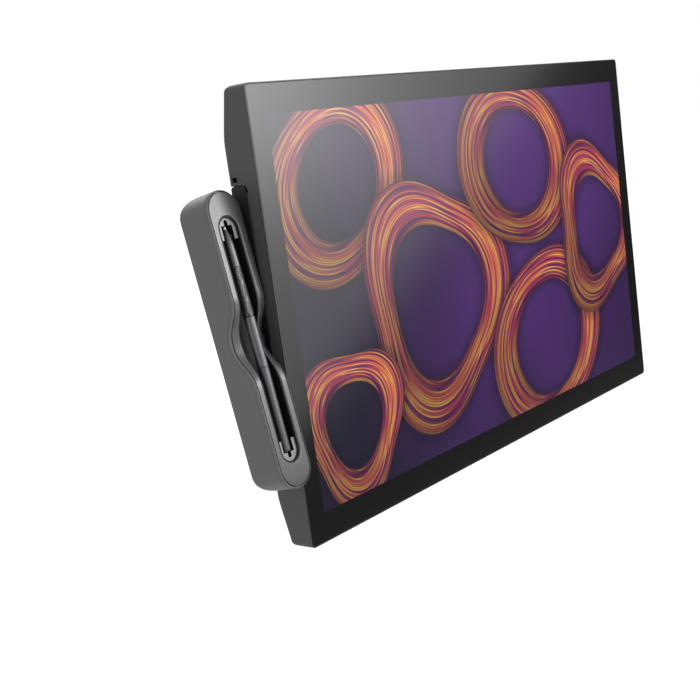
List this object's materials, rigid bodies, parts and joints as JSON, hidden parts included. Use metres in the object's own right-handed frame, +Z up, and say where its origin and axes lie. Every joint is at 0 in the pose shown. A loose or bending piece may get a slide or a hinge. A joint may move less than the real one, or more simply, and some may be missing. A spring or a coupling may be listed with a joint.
{
  "type": "graphics tablet with screen",
  "caption": "Flat drawing display with a tilting pen tray at its left side, a pen lying in the tray, hand grips with keys on the rear, and a square bolt pattern for a stand.",
  "frame": {"origin": "centre of the stand's bolt pattern, in the plane of the display's rear face", "axes": "the screen faces -Y, +Z is up, +X is to the right as the user sees the screen"},
  "size_m": [0.5982, 0.0662, 0.3426],
  "materials": {
    "screen_glass": "gloss",
    "frame_metal": "satin",
    "panel": "gloss",
    "light_guide": "clear",
    "circuit_board": "satin",
    "sheet_metal": "satin",
    "casing": "fine grain",
    "screws": "satin",
    "mount_metal": "satin",
    "port_metal": "satin",
    "black_plastic": "satin",
    "cooling_metal": "satin",
    "copper": "satin",
    "key_plastic": "satin",
    "grip_rubber": "matte",
    "hinge_metal": "satin",
    "washer_plastic": "satin",
    "tray_metal": "satin",
    "liner_black": "matte",
    "nib_plastic": "satin",
    "pen_metal": "satin",
    "pen_ring": "gloss",
    "pen_key": "satin"
  },
  "bodies": {
    "display": {"backlight_pan": "sheet_metal", "board_screws": "screws", "bracket_screws": "screws", "casing_screws": "screws", "cooling_fins": "cooling_metal", "cover_glass": "screen_glass", "fan_housings": "black_plastic", "friction_washers": "washer_plastic", "front_frame": "frame_metal", "grip_pad_left": "grip_rubber", "grip_pad_right": "grip_rubber", "heat_pipe": "copper", "heat_spreader": "cooling_metal", "key_boards": "circuit_board", "lcd_cell": "panel", "led_strip": "circuit_board", "light_guide": "light_guide", "main_board": "circuit_board", "mount_plate": "mount_metal", "pen_sensor_board": "circuit_board", "pivot_nut": "hinge_metal", "pivot_pin": "hinge_metal", "power_board": "circuit_board", "power_inlet": "black_plastic", "power_switch": "black_plastic", "rear_cover": "casing", "shield_plate": "sheet_metal", "tray_bracket": "hinge_metal", "usb_ports": "port_metal", "video_ports": "port_metal"},
    "power_button": {"power_button": "key_plastic"},
    "shortcut_key_left_1": {"shortcut_key_left_1": "key_plastic"},
    "shortcut_key_left_2": {"shortcut_key_left_2": "key_plastic"},
    "shortcut_key_left_3": {"shortcut_key_left_3": "key_plastic"},
    "shortcut_key_left_4": {"shortcut_key_left_4": "key_plastic"},
    "shortcut_key_right_1": {"shortcut_key_right_1": "key_plastic"},
    "shortcut_key_right_2": {"shortcut_key_right_2": "key_plastic"},
    "shortcut_key_right_3": {"shortcut_key_right_3": "key_plastic"},
    "shortcut_key_right_4": {"shortcut_key_right_4": "key_plastic"},
    "fan_rotor_left": {"fan_rotor_left": "black_plastic"},
    "fan_rotor_right": {"fan_rotor_right": "black_plastic"},
    "tray": {"tray_shell": "casing", "tray_cover": "tray_metal", "tray_liner": "liner_black", "cradle_upper": "tray_metal", "cradle_lower": "tray_metal", "tray_screws": "screws"},
    "pen": {"pen_cone": "pen_metal", "pen_coil": "copper", "pen_grip": "pen_metal", "pen_ring": "pen_ring", "pen_middle": "pen_metal", "pen_tail": "pen_metal", "pen_board": "circuit_board"},
    "pen_nib": {"pen_nib": "nib_plastic"},
    "pen_button_1": {"pen_button_1": "pen_key"},
    "pen_button_2": {"pen_button_2": "pen_key"},
    "pen_button_3": {"pen_button_3": "pen_key"}
  },
  "joints": [
    {"name": "power_button_press", "type": "slide", "parent": "display", "child": "power_button", "axis": [0, 0, -1], "range_m": [0, 0.0008], "stiffness_N_per_m": 1200},
    {"name": "shortcut_key_left_1_press", "type": "slide", "parent": "display", "child": "shortcut_key_left_1", "axis": [0, -1, 0], "range_m": [0, 0.0006], "stiffness_N_per_m": 1000},
    {"name": "shortcut_key_left_2_press", "type": "slide", "parent": "display", "child": "shortcut_key_left_2", "axis": [0, -1, 0], "range_m": [0, 0.0006], "stiffness_N_per_m": 1000},
    {"name": "shortcut_key_left_3_press", "type": "slide", "parent": "display", "child": "shortcut_key_left_3", "axis": [0, -1, 0], "range_m": [0, 0.0006], "stiffness_N_per_m": 1000},
    {"name": "shortcut_key_left_4_press", "type": "slide", "parent": "display", "child": "shortcut_key_left_4", "axis": [0, -1, 0], "range_m": [0, 0.0006], "stiffness_N_per_m": 1000},
    {"name": "shortcut_key_right_1_press", "type": "slide", "parent": "display", "child": "shortcut_key_right_1", "axis": [0, -1, 0], "range_m": [0, 0.0006], "stiffness_N_per_m": 1000},
    {"name": "shortcut_key_right_2_press", "type": "slide", "parent": "display", "child": "shortcut_key_right_2", "axis": [0, -1, 0], "range_m": [0, 0.0006], "stiffness_N_per_m": 1000},
    {"name": "shortcut_key_right_3_press", "type": "slide", "parent": "display", "child": "shortcut_key_right_3", "axis": [0, -1, 0], "range_m": [0, 0.0006], "stiffness_N_per_m": 1000},
    {"name": "shortcut_key_right_4_press", "type": "slide", "parent": "display", "child": "shortcut_key_right_4", "axis": [0, -1, 0], "range_m": [0, 0.0006], "stiffness_N_per_m": 1000},
    {"name": "fan_left_spin", "type": "hinge", "parent": "display", "child": "fan_rotor_left", "pos_m": [-0.11, -0.0201, 0.088], "axis": [0, 1, 0], "continuous": true},
    {"name": "fan_right_spin", "type": "hinge", "parent": "display", "child": "fan_rotor_right", "pos_m": [0.11, -0.0201, 0.088], "axis": [0, 1, 0], "continuous": true},
    {"name": "tray_tilt", "type": "hinge", "parent": "display", "child": "tray", "pos_m": [-0.284, -0.0053, -0.0108], "axis": [1, 0, 0], "range_deg": [-10, 30]},
    {"name": "pen_lift", "type": "slide", "parent": "tray", "child": "pen", "axis": [0, -0.9853, 0.1709], "range_m": [0, 0.03]},
    {"name": "pen_nib_press", "type": "slide", "parent": "pen", "child": "pen_nib", "axis": [0, -0.1709, -0.9853], "range_m": [0, 0.0005], "stiffness_N_per_m": 3000},
    {"name": "pen_button_1_press", "type": "slide", "parent": "pen", "child": "pen_button_1", "axis": [0.5736, 0.8071, -0.14], "range_m": [0, 0.0003], "stiffness_N_per_m": 1500},
    {"name": "pen_button_2_press", "type": "slide", "parent": "pen", "child": "pen_button_2", "axis": [0.5736, 0.8071, -0.14], "range_m": [0, 0.0003], "stiffness_N_per_m": 1500},
    {"name": "pen_button_3_press", "type": "slide", "parent": "pen", "child": "pen_button_3", "axis": [0.5736, 0.8071, -0.14], "range_m": [0, 0.0003], "stiffness_N_per_m": 1500}
  ]
}
